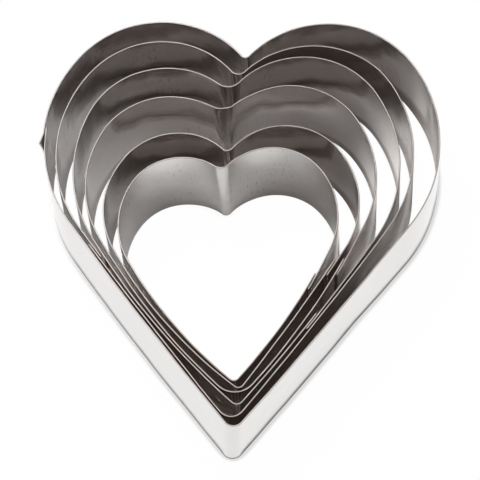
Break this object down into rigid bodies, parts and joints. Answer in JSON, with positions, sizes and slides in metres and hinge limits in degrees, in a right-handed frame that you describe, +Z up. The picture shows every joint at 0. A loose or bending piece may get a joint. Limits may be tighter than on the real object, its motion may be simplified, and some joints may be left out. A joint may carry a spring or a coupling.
{
  "type": "cookie cutter set",
  "caption": "Nested set of graduated heart-shaped cookie cutters, each a thin steel strip on edge bent to a heart, closed by a spot-welded lap and open at top and bottom.",
  "frame": {"origin": "bottom centre of the largest cutter's box, on the surface that the cutters stand on", "axes": "+Z up across the strip's height, +Y from the hearts' tips towards their lobes, +X to the right when seen from the tip"},
  "size_m": [0.111, 0.122, 0.03],
  "materials": {
    "strip_steel": "bright cold-rolled stainless strip with faint rolling lines and plain cut edges",
    "weld_steel": "dull fused spot between the two layers of the lap"
  },
  "bodies": {
    "cutter_1": {"cutter_1_strip": "strip_steel", "cutter_1_welds": "weld_steel"},
    "cutter_2": {"cutter_2_strip": "strip_steel", "cutter_2_welds": "weld_steel"},
    "cutter_3": {"cutter_3_strip": "strip_steel", "cutter_3_welds": "weld_steel"},
    "cutter_4": {"cutter_4_strip": "strip_steel", "cutter_4_welds": "weld_steel"},
    "cutter_5": {"cutter_5_strip": "strip_steel", "cutter_5_welds": "weld_steel"},
    "cutter_6": {"cutter_6_strip": "strip_steel", "cutter_6_welds": "weld_steel"}
  },
  "joints": [
    {"name": "cutter_2_lift", "type": "slide", "parent": "cutter_1", "child": "cutter_2", "axis": [0, 0, 1], "range_m": [0, 0.045]},
    {"name": "cutter_3_lift", "type": "slide", "parent": "cutter_1", "child": "cutter_3", "axis": [0, 0, 1], "range_m": [0, 0.045]},
    {"name": "cutter_4_lift", "type": "slide", "parent": "cutter_1", "child": "cutter_4", "axis": [0, 0, 1], "range_m": [0, 0.045]},
    {"name": "cutter_5_lift", "type": "slide", "parent": "cutter_1", "child": "cutter_5", "axis": [0, 0, 1], "range_m": [0, 0.045]},
    {"name": "cutter_6_lift", "type": "slide", "parent": "cutter_1", "child": "cutter_6", "axis": [0, 0, 1], "range_m": [0, 0.045]}
  ]
}
